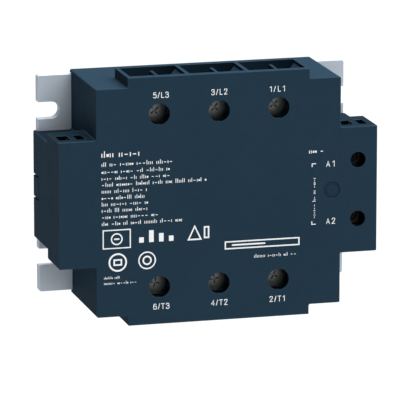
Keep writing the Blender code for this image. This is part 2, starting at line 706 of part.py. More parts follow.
def build_board():
    """The control board with the parts that stand on its front."""
    body = bmesh.new()
    add_box(body, BOARD_X, (BOARD_FRONT, BOARD_FRONT + BOARD_T), (-BOARD_Z, BOARD_Z))
    place("control_board", body, material("board_green", BOARD_GREEN, 0.4))

    epoxy = material("epoxy_black", EPOXY_BLACK, 0.5)
    chips = [(f"optocoupler_{number}", x, 0.0, OPTO_HALF_Z) for number, x in COLUMNS]
    chips.append(("bridge_rectifier", INPUT_X, BRIDGE_Z, BRIDGE_HALF_Z))
    for name, x, z, half_z in chips:
        body = bmesh.new()
        shoulder, top = BOARD_FACE - CHIP_SHOULDER, BOARD_FACE - CHIP_HEIGHT
        outline = (
            (x - CHIP_HALF_X, y_at(BOARD_FACE)),
            (x + CHIP_HALF_X, y_at(BOARD_FACE)),
            (x + CHIP_HALF_X, y_at(shoulder)),
            (x + CHIP_HALF_X - CHIP_LEAN, y_at(top)),
            (x - CHIP_HALF_X + CHIP_LEAN, y_at(top)),
            (x - CHIP_HALF_X, y_at(shoulder)),
        )
        add_prism(body, outline, "Z", z - half_z, z + half_z)
        place(name, body, epoxy)

    body = bmesh.new()
    top = BOARD_FACE - CAN_HEIGHT
    profile = ((top, CAN_R - CAN_BEVEL), (top + CAN_BEVEL, CAN_R), (BOARD_FACE, CAN_R))
    add_turned(body, CAN_X, 0.0, profile, 28)
    place("smoothing_capacitor", body, epoxy, smooth=True)

    body = bmesh.new()
    segments = 20
    outline = []
    for index in range(segments):
        angle = 2 * math.pi * index / segments
        depth = BOARD_FACE - RESISTOR_LIFT + RESISTOR_R * math.sin(angle)
        outline.append((INPUT_X + RESISTOR_R * math.cos(angle), y_at(depth)))
    add_prism(body, outline, "Z", *RESISTOR_Z)
    place("input_resistor", body, material("resistor", RESISTOR_GREY, 0.6), smooth=True)


def build_status_light():
    """The indicator on the board and the light pipe that carries it to the front."""
    led_front = BOARD_FACE - LED_HEIGHT
    profile = ((led_front, LED_R / 2), (led_front + LED_DOME, LED_R), (BOARD_FACE, LED_R))
    body = bmesh.new()
    add_turned(body, LED_X, LED_Z, profile, 20)
    place("status_led", body, material("led_green", LED_GREEN, 0.2), smooth=True)

    flange_front = FRONT_WALL + GAP
    flange_back = flange_front + PIPE_FLANGE_T
    profile = (
        (WINDOW_FRONT, WINDOW_R - WINDOW_BEVEL),
        (WINDOW_FRONT + WINDOW_BEVEL, WINDOW_R),
        (flange_front, WINDOW_R),
        (flange_front, PIPE_FLANGE_R),
        (flange_back, PIPE_FLANGE_R),
        (flange_back, PIPE_R),
        (led_front - GAP, PIPE_R),
    )
    body = bmesh.new()
    add_turned(body, LED_X, LED_Z, profile, 32)
    place("light_pipe", body, material("smoked_window", SMOKED, 0.2), smooth=True)


def main():
    for obj in list(bpy.data.objects):
        bpy.data.objects.remove(obj, do_unlink=True)
    build_base_plate()
    build_housing()
    build_power_terminals()
    build_control_terminals()
    build_power_stage()
    build_potting()
    build_board()
    build_status_light()


main()
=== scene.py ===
"""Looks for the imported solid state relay: softened edges, materials, printed marks and a studio.

The frame is in metres, +Z up, the labelled front facing -Y. Lengths named with MM are millimetres.
"""

import math
import random

import bmesh
import bpy
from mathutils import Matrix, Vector

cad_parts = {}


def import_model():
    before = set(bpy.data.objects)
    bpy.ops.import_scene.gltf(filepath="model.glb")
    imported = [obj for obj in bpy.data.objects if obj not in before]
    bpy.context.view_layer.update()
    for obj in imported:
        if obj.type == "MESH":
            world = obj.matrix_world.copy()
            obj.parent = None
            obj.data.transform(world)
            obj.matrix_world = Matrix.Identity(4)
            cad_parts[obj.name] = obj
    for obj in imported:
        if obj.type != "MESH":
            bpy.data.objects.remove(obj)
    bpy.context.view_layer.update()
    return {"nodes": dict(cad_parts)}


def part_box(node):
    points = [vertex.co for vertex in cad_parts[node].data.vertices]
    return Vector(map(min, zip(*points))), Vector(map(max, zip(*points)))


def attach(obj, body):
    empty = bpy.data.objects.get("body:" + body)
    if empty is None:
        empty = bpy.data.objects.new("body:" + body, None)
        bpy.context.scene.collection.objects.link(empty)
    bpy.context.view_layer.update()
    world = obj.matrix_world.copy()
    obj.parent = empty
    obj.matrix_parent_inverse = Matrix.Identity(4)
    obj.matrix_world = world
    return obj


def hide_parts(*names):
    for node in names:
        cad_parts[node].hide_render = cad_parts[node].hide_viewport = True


MM = 0.001
ROOT = "housing_and_plate"
FRONT_Y = -36.3

# The angle in degrees that each screw's cross was left at
POWER_TURNS = {"l3": 38, "l2": 52, "l1": 128, "t3": 78, "t2": 98, "t1": 64}
CONTROL_TURNS = {"a1": 20, "a2": 65}
# The head's top behind the front, head height, head radius, shank radius, pitch
POWER_SCREW = (6.3, 2.0, 3.8, 2.0, 0.7)
CONTROL_SCREW = (6.5, 1.8, 2.2, 1.5, 0.5)
POWER_CLAMP_ROUND, CONTROL_CLAMP_ROUND = 0.18, 0.12

# The camera: angles in degrees, the rest in metres, and the lens for a 36 mm sensor
AZIMUTH, ELEVATION = -15.08, 12.76
CAMERA_DISTANCE = 1.4469
CAMERA_AIM = (-0.0059, -0.0349, -0.0008)
LENS, SENSOR = 416.1, 36


# ---------------------------------------------------------------- materials


class Shader:
    """A Principled material with a few helpers for building its nodes."""

    def __init__(self, name, colour, roughness, metallic=0.0, specular=0.5):
        self.material = bpy.data.materials.new(name)
        self.material.use_nodes = True
        self.material.diffuse_color = (*colour, 1)
        self.tree = self.material.node_tree
        self.bsdf = self.tree.nodes["Principled BSDF"]
        self.bsdf.inputs["Base Color"].default_value = (*colour, 1)
        self.bsdf.inputs["Roughness"].default_value = roughness
        self.bsdf.inputs["Metallic"].default_value = metallic
        self.bsdf.inputs["Specular IOR Level"].default_value = specular
        self.colour = colour
        self.roughness = roughness
        self.height = None
        self.coords = self.add("ShaderNodeTexCoord").outputs["Object"]

    def add(self, kind, **settings):
        node = self.tree.nodes.new(kind)
        for name, value in settings.items():
            setattr(node, name, value)
        return node

    def join(self, source, target):
        self.tree.links.new(source, target)

    def noise(self, size_mm, detail=3.0, stretch=(1, 1, 1), rough=0.55):
        """Noise with features about size_mm across. Stretch lengthens them along an axis."""
        mapping = self.add("ShaderNodeMapping")
        for index, value in enumerate(stretch):
            mapping.inputs["Scale"].default_value[index] = 1.0 / value
        self.join(self.coords, mapping.inputs["Vector"])
        node = self.add("ShaderNodeTexNoise")
        node.inputs["Scale"].default_value = 1.0 / (size_mm * MM)
        node.inputs["Detail"].default_value = detail
        node.inputs["Roughness"].default_value = rough
        self.join(mapping.outputs["Vector"], node.inputs["Vector"])
        return node.outputs["Fac"]

    def ramp(self, source, low, high, to_low=0.0, to_high=1.0):
        node = self.add("ShaderNodeMapRange")
        node.inputs["From Min"].default_value = low
        node.inputs["From Max"].default_value = high
        node.inputs["To Min"].default_value = to_low
        node.inputs["To Max"].default_value = to_high
        self.join(source, node.inputs["Value"])
        return node.outputs["Result"]

    def tint(self, source, colour):
        """Moves the base colour towards another where source is high."""
        node = self.add("ShaderNodeMix", data_type="RGBA")
        target = self.bsdf.inputs["Base Color"]
        if target.is_linked:
            self.join(target.links[0].from_socket, node.inputs["A"])
        else:
            node.inputs["A"].default_value = (*self.colour, 1)
        node.inputs["B"].default_value = (*colour, 1)
        self.join(source, node.inputs["Factor"])
        self.join(node.outputs["Result"], target)

    def vary_roughness(self, source, low, high):
        self.join(self.ramp(source, 0.3, 0.7, low, high), self.bsdf.inputs["Roughness"])

    def bump(self, source, depth_mm, strength=1.0):
        node = self.add("ShaderNodeBump")
        node.inputs["Distance"].default_value = depth_mm * MM
        node.inputs["Strength"].default_value = strength
        self.join(source, node.inputs["Height"])
        if self.height is not None:
            self.join(self.height, node.inputs["Normal"])
        self.height = node.outputs["Normal"]
        self.join(self.height, self.bsdf.inputs["Normal"])


def shade(colour, factor):
    return tuple(min(1.0, channel * factor) for channel in colour)


def moulded_plastic(name, colour, roughness=0.7, specular=0.012, grain_mm=0.28, depth_mm=0.012):
    """Injection moulded plastic with a fine spark-eroded grain."""
    made = Shader(name, colour, roughness, specular=specular)
    made.tint(made.ramp(made.noise(26.0, 2.0), 0.35, 0.7, 0.0, 0.55), shade(colour, 1.10))
    made.tint(made.ramp(made.noise(2.2, 4.0), 0.45, 0.75, 0.0, 0.5), shade(colour, 0.90))
    made.vary_roughness(made.noise(7.0, 4.0), roughness - 0.05, roughness + 0.06)
    made.bump(made.noise(grain_mm, 4.0), depth_mm, 0.8)
    made.bump(made.noise(14.0, 2.0), 0.03, 0.35)
    return made


def metal(name, colour, roughness, grain, grain_mm, depth_mm, tarnish=0.85, metallic=1.0):
    """Metal with a dull tarnish and a fine grain. Grain is how far it is drawn out along x, y, z."""
    made = Shader(name, colour, roughness, metallic)
    made.tint(made.ramp(made.noise(5.0, 5.0), 0.4, 0.75, 0.0, 0.6), shade(colour, tarnish))
    made.vary_roughness(made.noise(1.6, 5.0, grain), roughness - 0.07, roughness + 0.09)
    made.bump(made.noise(grain_mm, 4.0, grain), depth_mm, 0.7)
    return made


def build_materials():
    blue = (0.0148, 0.0335, 0.0535)
    edge_highlight_blue = (0.023, 0.050, 0.078)
    library = {}
    library["housing"] = moulded_plastic("housing_blue", blue)
    # painted highlight: the rounded edges tinted a lighter blue in patches
    edge = moulded_plastic("housing_edge_painted_highlight", blue, 0.6, 0.03)
    edge.tint(edge.ramp(edge.noise(1.1, 5.0), 0.40, 0.72, 0.15, 0.75), edge_highlight_blue)
    library["housing_edge_painted_highlight"] = edge
    # the same plastic with shade painted into its colour where it is always in shade: the cells, and the
    # holes and pockets
    library["housing_inside_painted_shade"] = moulded_plastic("housing_inside_painted_shade", shade(blue, 0.50), specular=0.0)
    # painted shade: the hole and pocket walls nearly black
    library["housing_hole_painted_shade"] = moulded_plastic("housing_hole_painted_shade", shade(blue, 0.12), specular=0.0)
    # painted shade: the wings' top and bottom faces darker, for the shade of the body beside them
    library["housing_shelf_painted_shade"] = moulded_plastic("housing_shelf_painted_shade", shade(blue, 0.55))

    nickel = (0.46, 0.52, 0.59)
    plate = metal("plate_satin_nickel", nickel, 0.58, (14, 1, 1), 0.10, 0.002, 0.95, 0.12)
    plate.tint(plate.ramp(plate.noise(0.6, 3.0, (30, 1, 1)), 0.45, 0.8, 0, 0.3), shade(nickel, 0.9))
    library["base_plate"] = plate
    # the broken edges: a sheared grain, and painted 12% lighter than the plate as a highlight
    library["plate_edge"] = metal(
        "plate_sheared_edge_painted_highlight", shade(nickel, 1.12), 0.5, (1, 1, 6), 0.08, 0.003, 0.85, 0.2
    )

    even = (1, 1, 1)
    steel = metal("screw_dark_steel", (0.140, 0.149, 0.147), 0.38, even, 0.16, 0.003, 0.85, 0.5)
    steel.tint(steel.ramp(steel.noise(0.9, 5.0), 0.45, 0.72, 0, 0.5), (0.114, 0.121, 0.120))
    library["screw_steel"] = steel
    # black oxide made near black: the shade deep in the control holes painted into the screws
    black = metal("screw_black_oxide_painted_shade", (0.010, 0.010, 0.011), 0.55, even, 0.16, 0.004, 0.7, 0.4)
    library["black_screw_painted_shade"] = black
    # zinc painted dark, well below its own brightness, as the shade inside the housing
    library["zinc_steel"] = metal("clamp_zinc_painted_shade", (0.20, 0.205, 0.21), 0.42, (1, 5, 1), 0.10, 0.004, 0.8)
    library["tinned_copper"] = metal("strip_tin", (0.62, 0.60, 0.56), 0.32, (1, 1, 8), 0.10, 0.003, 0.84)
    copper = metal("strip_copper", (0.72, 0.36, 0.20), 0.30, (6, 1, 1), 0.09, 0.003, 0.72)
    copper.tint(copper.ramp(copper.noise(2.4, 5.0), 0.5, 0.8, 0, 0.6), (0.42, 0.20, 0.13))
    library["copper"] = copper

    ceramic = Shader("alumina", (0.78, 0.78, 0.74), 0.55)
    ceramic.tint(ceramic.ramp(ceramic.noise(0.5, 4.0), 0.45, 0.75, 0, 0.6), (0.68, 0.68, 0.64))
    ceramic.bump(ceramic.noise(0.12, 3.0), 0.004)
    library["ceramic"] = ceramic
    silicon = Shader("die_silicon", (0.09, 0.10, 0.13), 0.16, metallic=0.6)
    bands = silicon.ramp(silicon.noise(0.4, 2.0, (1, 1, 20)), 0.45, 0.6, 0, 0.8)
    silicon.tint(bands, (0.14, 0.13, 0.18))
    silicon.bump(silicon.noise(0.2, 2.0), 0.001)
    library["silicon"] = silicon
    potting = Shader("potting_compound", (0.30, 0.31, 0.33), 0.34)
    potting.tint(potting.ramp(potting.noise(3.5, 5.0), 0.4, 0.7), (0.24, 0.25, 0.27))
    potting.bump(potting.noise(6.0, 3.0), 0.25, 0.6)
    library["potting"] = potting
    board = Shader("board_resist", (0.014, 0.11, 0.045), 0.30)
    tracks = board.noise(1.3, 0.0, (7, 7, 1))
    board.tint(board.ramp(tracks, 0.50, 0.53), (0.030, 0.19, 0.075))
    board.bump(board.ramp(tracks, 0.50, 0.53), 0.03)
    board.tint(board.ramp(board.noise(0.35, 2.0), 0.66, 0.70), (0.34, 0.33, 0.28))
    library["board"] = board
    library["epoxy"] = moulded_plastic("chip_epoxy", (0.014, 0.014, 0.015), 0.5, 0.35, 0.18, 0.010)
    sleeve = Shader("capacitor_sleeve", (0.02, 0.035, 0.06), 0.24)
    sleeve.tint(sleeve.ramp(sleeve.noise(4.0, 3.0), 0.4, 0.7), (0.028, 0.046, 0.075))
    sleeve.bump(sleeve.noise(0.9, 2.0, (1, 6, 1)), 0.02)
    library["capacitor_sleeve"] = sleeve
    lacquer = Shader("resistor_lacquer", (0.33, 0.36, 0.33), 0.42)
    lacquer.tint(lacquer.ramp(lacquer.noise(0.6, 4.0), 0.4, 0.7), (0.27, 0.30, 0.27))
    lacquer.bump(lacquer.noise(0.4, 4.0), 0.02)
    library["resistor"] = lacquer
    lens = Shader("led_lens", (0.10, 0.50, 0.15), 0.18)
    lens.bsdf.inputs["Transmission Weight"].default_value = 0.35
    lens.bsdf.inputs["Subsurface Weight"].default_value = 0.3
    lens.bump(lens.noise(0.5, 2.0), 0.004)
    library["led"] = lens
    pipe = Shader("window_smoked", shade(blue, 0.90), 0.45, specular=0.02)
    pipe.tint(pipe.ramp(pipe.noise(1.2, 3.0), 0.4, 0.7, 0, 0.5), shade(blue, 0.82))
    pipe.bump(pipe.noise(0.5, 3.0), 0.004)
    library["light_pipe"] = pipe
    ink = Shader("print_white_ink", (0.80, 0.82, 0.83), 0.55, specular=0.2)
    ink.tint(ink.ramp(ink.noise(0.25, 3.0), 0.50, 0.80, 0, 0.5), (0.60, 0.63, 0.66))
    ink.bump(ink.noise(0.18, 3.0), 0.006)
    library["print"] = ink
    floor = Shader("studio_floor", (0.46, 0.46, 0.46), 0.9, specular=0.0)
    floor.tint(floor.ramp(floor.noise(90.0, 2.0), 0.3, 0.7, 0, 1), (0.47, 0.47, 0.47))
    library["floor"] = floor
    return {name: made.material for name, made in library.items()}


# ---------------------------------------------------------------- mesh helpers


def new_object(name, mesh, materials, body):
    """Turns a bmesh in metres into a piece that rides on a body."""
    data = bpy.data.meshes.new(name)
    mesh.to_mesh(data)
    mesh.free()
    obj = bpy.data.objects.new(name, data)
    bpy.context.scene.collection.objects.link(obj)
    for entry in materials:
        data.materials.append(entry)
    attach(obj, body)
    return obj


def welded(node):
    """A node's mesh with its split corners joined and its flat areas made whole faces."""
    mesh = bmesh.new()
    mesh.from_mesh(node.data)
    bmesh.ops.remove_doubles(mesh, verts=mesh.verts, dist=1e-6)
    bmesh.ops.dissolve_limit(
        mesh, angle_limit=math.radians(1.0), verts=mesh.verts, edges=mesh.edges
    )
    for face in mesh.faces:
        face.material_index = 0
        face.smooth = True
    return mesh


def near(value, targets, room=0.02):
    """Whether a value is one of these targets on either side of zero."""
    return any(abs(abs(value) - abs(target)) < room for target in targets)


def soften(obj, width_mm, segments=3, by_weight=False, edge_slot=None):
    """Rounds edges and keeps the flat faces flat in shading."""
    bevel = obj.modifiers.new("Round", "BEVEL")
    bevel.width = width_mm * MM
    bevel.segments = segments
    bevel.limit_method = "WEIGHT" if by_weight else "ANGLE"
    bevel.angle_limit = math.radians(30)
    bevel.use_clamp_overlap = not by_weight
    bevel.miter_outer = "MITER_ARC"
    if edge_slot is not None:
        bevel.material = edge_slot
    normals = obj.modifiers.new("Flat", "WEIGHTED_NORMAL")
    normals.mode = "FACE_AREA"
    normals.keep_sharp = True


# ---------------------------------------------------------------- housing and plate

BODY_X, BODY_Z = 39.6, 36.4
WING_X, WING_Z, WING_REAR_Z = 51.6, 20.25, 17.3
TOWER_X, TOWER_Z = 29.4, 39.6
STEP_X = 47.2
# Behind REAR_Y, what lies past REAR_X or REAR_Z is an outer face, such as a snap tab's
REAR_Y, REAR_X, REAR_Z = -15.5, 51.0, 36.0
TOWER_END_Z = 39.0  # a face pointing outwards past this is a tower's end
HOLE_END_Y = -33.5  # the guide holes' round walls lie in front of this
OUTLINE_X = (BODY_X, WING_X, TOWER_X)
OUTLINE_Z = (BODY_Z, WING_Z, TOWER_Z, WING_REAR_Z)
BACK_EDGE_Y = (-20.5, -19.4, -14.8, -1.5)
OUTER_CORNERS = ((WING_X, WING_Z), (WING_X, WING_REAR_Z), (BODY_X, BODY_Z), (STEP_X, WING_Z))
INNER_CORNERS = ((BODY_X, WING_Z), (BODY_X, WING_REAR_Z), (TOWER_X, BODY_Z))

# An edge's rounding is its weight times ROUND, and the largest weight is HEAVIEST
ROUND, HEAVIEST = 0.5, 1.6

# The housing's materials, in the order of its slots: the plastic, its edges with a painted highlight,
# and the plastic with painted shade in the cells, in the holes and pockets, and on the wings' faces
OUTSIDE, EDGE_HIGHLIGHT, CELL_SHADE, HOLE_SHADE, SHELF_SHADE = range(5)
HOUSING_SLOT_MATERIALS = (
    "housing",
    "housing_edge_painted_highlight",
    "housing_inside_painted_shade",
    "housing_hole_painted_shade",
    "housing_shelf_painted_shade",
)


def edge_weight(edge):
    """How strongly a housing edge is rounded, from 0 to HEAVIEST."""
    if len(edge.link_faces) != 2 or edge.calc_length() < 0.35 * MM:
        return 0.0
    angle = math.degrees(edge.calc_face_angle_signed())
    first, second = (vert.co / MM for vert in edge.verts)
    middle, along = (first + second) / 2, (second - first).normalized()
    if angle < -30:
        if abs(along.y) > 0.99:
            for x, z in INNER_CORNERS:
                if near(middle.x, (x,)) and near(middle.z, (z,)):
                    return HEAVIEST if x == BODY_X and z == WING_REAR_Z else 0.9
        return 0.0
    if angle < 30:
        return 0.0
    on_side = near(middle.x, OUTLINE_X) and abs(along.x) < 0.01
    on_end = near(middle.z, OUTLINE_Z) and abs(along.z) < 0.01
    if abs(along.y) > 0.99:
        for x, z in OUTER_CORNERS:
            if near(middle.x, (x,)) and near(middle.z, (z,)):
                return 1.0
    elif near(middle.y, (FRONT_Y,)) and (on_side or on_end):
        return 0.6
    elif middle.y > -35 and abs(along.y) < 0.01 and (on_side or on_end):
        return 0.5 if near(middle.y, BACK_EDGE_Y, 0.05) else 0.3
    return 0.3


def housing_slot(face):
    """The slot for a face: outside, or painted shade on the cells' walls, holes and pockets, or on the
    wings' tops.
    """
    middle, normal = face.calc_center_median() / MM, face.normal
    side_on, end_on = abs(normal.x) > 0.99, abs(normal.z) > 0.99
    flat = side_on or end_on or abs(normal.y) > 0.99
    in_wing = abs(middle.x) > BODY_X - 0.5
    if flat and (near(middle.y, (FRONT_Y,), 0.05) or normal.y > 0.99):
        return OUTSIDE
    if end_on and normal.z * middle.z > 0:
        # the wings' outer faces take the painted shade slot
        if near(middle.z, (WING_Z, WING_REAR_Z), 0.05):
            return SHELF_SHADE
        if near(middle.z, (BODY_Z, TOWER_Z), 0.05) or abs(middle.z) > TOWER_END_Z:
            return OUTSIDE
    if side_on and normal.x * middle.x > 0 and near(middle.x, (*OUTLINE_X, STEP_X), 0.05):
        return OUTSIDE
    if middle.y > REAR_Y and (abs(middle.x) > REAR_X or abs(middle.z) > REAR_Z):
        return OUTSIDE
    round_wall = middle.y < HOLE_END_Y and not flat
    # the cells' walls, and the holes and pockets, take painted shade
    return HOLE_SHADE if round_wall or in_wing else CELL_SHADE


def dress_housing(frame, library):
    """The housing with rounded outer edges, and shade painted into its colour where it is in shade."""
    mesh = welded(frame["nodes"]["housing"])
    layers = mesh.edges.layers.float
    layer = layers.get("bevel_weight_edge") or layers.new("bevel_weight_edge")
    for edge in mesh.edges:
        edge[layer] = edge_weight(edge) / HEAVIEST
        if edge[layer] == 0.0 and len(edge.link_faces) == 2:
            edge.smooth = edge.calc_face_angle() < math.radians(20)
    # faces in shade get darker slots: painted shade
    for face in mesh.faces:
        face.material_index = housing_slot(face)
    slot_materials = [library[name] for name in HOUSING_SLOT_MATERIALS]
    skin = new_object("housing_skin", mesh, slot_materials, ROOT)
    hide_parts("housing")
    soften(skin, ROUND * HEAVIEST, by_weight=True, edge_slot=EDGE_HIGHLIGHT)


def dress_plate(frame, library):
    """The base plate with broken edges in their own material, painted lighter as a highlight."""
    mesh = welded(frame["nodes"]["base_plate"])
    slot_materials = [library["base_plate"], library["plate_edge"]]
    skin = new_object("base_plate_skin", mesh, slot_materials, ROOT)
    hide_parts("base_plate")
    soften(skin, 0.2, edge_slot=1)


# ---------------------------------------------------------------- screws and clamps


def add_thread(mesh, x, z, top_y, end_y, radius, pitch):
    """A single-start ridge wound round the shank. It starts and ends at nothing."""
    steps_per_turn = 20
    turns = (end_y - top_y) / pitch
    steps = int(turns * steps_per_turn)
    rings = []
    for step in range(steps + 1):
        share = step / steps
        angle = 2 * math.pi * turns * share
        y = top_y + (end_y - top_y) * share
        grow = min(1.0, 6 * share, 6 * (1 - share))
        half, height = 0.36 * pitch * grow + 1e-6, 0.22 * pitch * grow + 1e-6
        ring = []
        for offset, lift in ((-half, -0.25 * pitch), (0.0, height), (half, -0.25 * pitch)):
            r = radius + lift
            ring.append(
                mesh.verts.new((x + r * math.cos(angle), y + offset, z + r * math.sin(angle)))
            )
        rings.append(ring)
    for before, after in zip(rings, rings[1:]):
        for index in range(3):
            following = (index + 1) % 3
            mesh.faces.new((before[index], before[following], after[following], after[index]))
    mesh.faces.new(rings[0])
    mesh.faces.new(rings[-1])


def lathe(mesh, x, z, profile, segments):
    """A solid turned about a line along Y through (x, z), from (depth, radius) pairs in mm."""
    rings = []
    for depth, radius in profile:
        corners = []
        for index in range(segments):
            angle = 2 * math.pi * index / segments
            point = (x + radius * math.cos(angle), FRONT_Y + depth, z + radius * math.sin(angle))
            corners.append(mesh.verts.new(Vector(point) * MM))
        rings.append(corners)
    mesh.faces.new(rings[0])
    mesh.faces.new(rings[-1])
    for corners, deeper in zip(rings, rings[1:]):
        for index in range(segments):
            following = (index + 1) % segments
            side = (corners[index], corners[following], deeper[following], deeper[index])
            mesh.faces.new(side)
    bmesh.ops.recalc_face_normals(mesh, faces=mesh.faces)


def helper(mesh):
    """An object for one Boolean, which is removed again."""
    data = bpy.data.meshes.new("helper")
    mesh.to_mesh(data)
    mesh.free()
    obj = bpy.data.objects.new("helper", data)
    bpy.context.scene.collection.objects.link(obj)
    return obj


def cut_away(mesh, cutter):
    """The first solid without the second. Both are used up."""
    solid, tool = helper(mesh), helper(cutter)
    modifier = solid.modifiers.new("Cut", "BOOLEAN")
    modifier.operation = "DIFFERENCE"
    modifier.object = tool
    modifier.solver = "EXACT"
    graph = bpy.context.evaluated_depsgraph_get()
    data = bpy.data.meshes.new_from_object(solid.evaluated_get(graph))
    result = bmesh.new()
    result.from_mesh(data)
    bpy.data.meshes.remove(data)
    for obj in (solid, tool):
        used = obj.data
        bpy.data.objects.remove(obj)
        bpy.data.meshes.remove(used)
    return result


def cross_cutter(x, z, top, reach, half, deep, turn):
    """Four tapering arms and a small square heart, for a cross recess."""
    mesh = bmesh.new()
    rings = []
    for depth, share in ((top - 0.6, 1.25), (top + deep, 0.45)):
        ring = []
        for quarter in range(4):
            angle = math.radians(turn + 90 * quarter)
            along = Vector((math.cos(angle), math.sin(angle)))
            across = Vector((-along.y, along.x))
            for out, side in ((reach * share, -half), (reach * share, half), (half, half)):
                spot = along * out + across * side
                point = Vector((x + spot.x, FRONT_Y + depth, z + spot.y))
                ring.append(mesh.verts.new(point * MM))
        rings.append(ring)
    mesh.faces.new(rings[0])
    mesh.faces.new(rings[1])
    for index in range(12):
        following = (index + 1) % 12
        side = (rings[0][index], rings[0][following], rings[1][following], rings[1][index])
        mesh.faces.new(side)
    bmesh.ops.recalc_face_normals(mesh, faces=mesh.faces)
    return mesh


def dress_screw(frame, library, key, finish, sizes, turn):
    """The clamping screw: a low dome with a small cross recess, and a wound thread."""
    node = frame["nodes"][f"clamp_screw_{key}"]
    low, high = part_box(node.name)
    centre = (low + high) / 2 / MM
    top, head_t, head_r, shank_r, pitch = sizes
    end = high.y / MM - FRONT_Y
    dome = [(top + 0.15 * head_t * r**4, r * head_r) for r in (0.1, 0.3, 0.5, 0.65, 0.8, 0.92)]
    rim = [(top + 0.30 * head_t, 0.97 * head_r), (top + 0.45 * head_t, head_r)]
    shank = [(top + head_t, head_r), (top + head_t, shank_r), (end - 0.5, shank_r)]
    body = bmesh.new()
    lathe(body, centre.x, centre.z, dome + rim + shank + [(end, shank_r - 0.5)], 48)
    cross = cross_cutter(centre.x, centre.z, top, 0.46 * head_r, 0.07 * head_r, 0.7, turn)
    solid = cut_away(body, cross)
    skin = new_object(f"screw_{key}", solid, [library[finish]], node.name)
    skin.data.shade_smooth()
    skin.data.set_sharp_from_angle(angle=math.radians(35))
    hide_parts(node.name)
    thread = bmesh.new()
    start = (FRONT_Y + top + head_t + 0.9) * MM
    spiral = (start, high.y - 0.6 * MM, shank_r * MM, pitch * MM)
    add_thread(thread, centre.x * MM, centre.z * MM, *spiral)
    bmesh.ops.recalc_face_normals(thread, faces=thread.faces)
    new_object(f"thread_{key}", thread, [library[finish]], node.name)


def dress_clamp(frame, library, key, width):
    """The clamp plate with softened edges, in zinc painted dark as shade."""
    node = frame["nodes"][f"clamp_plate_{key}"]
    slot_materials = [library["zinc_steel"]]
    skin = new_object(f"pressure_plate_{key}", welded(node), slot_materials, node.name)
    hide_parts(node.name)
    soften(skin, width, segments=2)


# ---------------------------------------------------------------- status window


def dress_window(library):
    """A faint dome inside a fine groove, with the light pipe's flange and stem behind it."""
    low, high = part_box("light_pipe")
    centre = (low + high) / 2 / MM
    stem_end = high.y / MM - FRONT_Y
    dome = [(0.06 + 0.10 * (r / 1.95) ** 2, r) for r in (0.2, 0.7, 1.2, 1.6, 1.95)]
    groove = [(0.24, 2.03), (0.25, 2.14), (0.13, 2.2), (0.11, 2.35), (0.12, 2.5), (0.22, 2.58)]
    pipe = [(2.4, 2.58), (2.5, 2.9), (3.3, 2.9), (3.3, 1.5), (stem_end, 1.5)]
    mesh = bmesh.new()
    lathe(mesh, centre.x, centre.z, dome + groove + pipe, 48)
    window = new_object("status_window", mesh, [library["light_pipe"]], ROOT)
    window.data.shade_smooth()
    window.data.set_sharp_from_angle(angle=math.radians(40))
    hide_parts("light_pipe")


# ---------------------------------------------------------------- printed marks

INK_T = 0.03  # how far the ink stands proud
INK_ROOT = 0.01  # how far it reaches into the housing
LAYER = 0.003  # between strokes that cross, so that no two faces lie in one plane
STROKE = 0.225  # the terminal numbers' stroke width
POWER_CAP, CONTROL_CAP = 1.85, 1.9  # their heights
LINE_ROW_Z, LOAD_ROW_Z = 32.75, -34.8  # the baselines of the upper and the lower row

# Rows of fine print: the baseline, the height, and where the row ends
PRINT_LEFT = -37.8
PRINT_ROWS = (
    (14.8, 2.3, -24.0),
    (11.9, 1.6, -13.2),
    (9.6, 1.5, -15.1),
    (7.5, 1.5, -15.1),
    (5.5, 1.5, -3.2),
    (3.4, 1.5, -22.5),
    (1.3, 1.5, -22.5),
    (-0.7, 1.5, -22.5),
    (-2.7, 1.5, -22.5),
    (-4.8, 1.5, -19.3),
    (-6.95, 1.5, -10.9),
)

# Centre lines of the strokes in a box one unit high: bent ones are rounded off when drawn
BENT = "bent"
GLYPHS = {
    "1": (((0.05, 0.78), (0.32, 1), (0.32, 0)),),
    "2": (
        (BENT, (0.04, 0.74), (0.06, 1.0), (0.30, 1.02), (0.56, 1.0), (0.56, 0.66), (0.04, 0.0)),
        ((0.02, 0), (0.58, 0)),
    ),
    "3": (
        (BENT, (0.04, 0.80), (0.06, 1.0), (0.30, 1.02), (0.54, 0.98), (0.54, 0.56), (0.22, 0.54)),
        (BENT, (0.22, 0.54), (0.58, 0.52), (0.60, 0.02), (0.30, -0.02), (0.04, 0.0), (0.02, 0.20)),
    ),
    "4": (((0.44, 0), (0.44, 1), (0.02, 0.28), (0.60, 0.28)),),
    "5": (
        ((0.54, 1), (0.12, 1), (0.08, 0.56)),
        (BENT, (0.08, 0.56), (0.30, 0.70), (0.62, 0.58), (0.60, 0.0), (0.22, -0.02), (0.02, 0.14)),
    ),
    "6": (
        (BENT, (0.54, 0.90), (0.40, 1.02), (0.10, 1.0), (0.02, 0.60), (0.02, 0.30)),
        (BENT, (0.02, 0.30), (0.04, 0.0), (0.30, -0.02), (0.60, 0.02), (0.60, 0.58), (0.30, 0.62)),
        (BENT, (0.30, 0.62), (0.06, 0.58), (0.02, 0.30)),
    ),
    "/": (((0, -0.02), (0.30, 1.02)),),
    "L": (((0.06, 1), (0.06, 0), (0.52, 0)),),
    "T": (((0, 1), (0.58, 1)), ((0.29, 1), (0.29, 0))),
    "A": (((0, 0), (0.30, 1), (0.60, 0)), ((0.11, 0.32), (0.49, 0.32))),
}

# Small marks that stand in for fine print: ticks, dashes and blocks of no alphabet
MARKS = (
    ((0, 0), (0, 0.65)),
    ((0, 0), (0, 0.65)),
    ((0, 0), (0, 0.65)),
    ((0, 0), (0, 1)),
    ((0, 0.35), (0.45, 0.35)),
    ((0.08, 0.10), (0.08, 0.55)),
)
BLOCK = 5  # the last mark is drawn broad


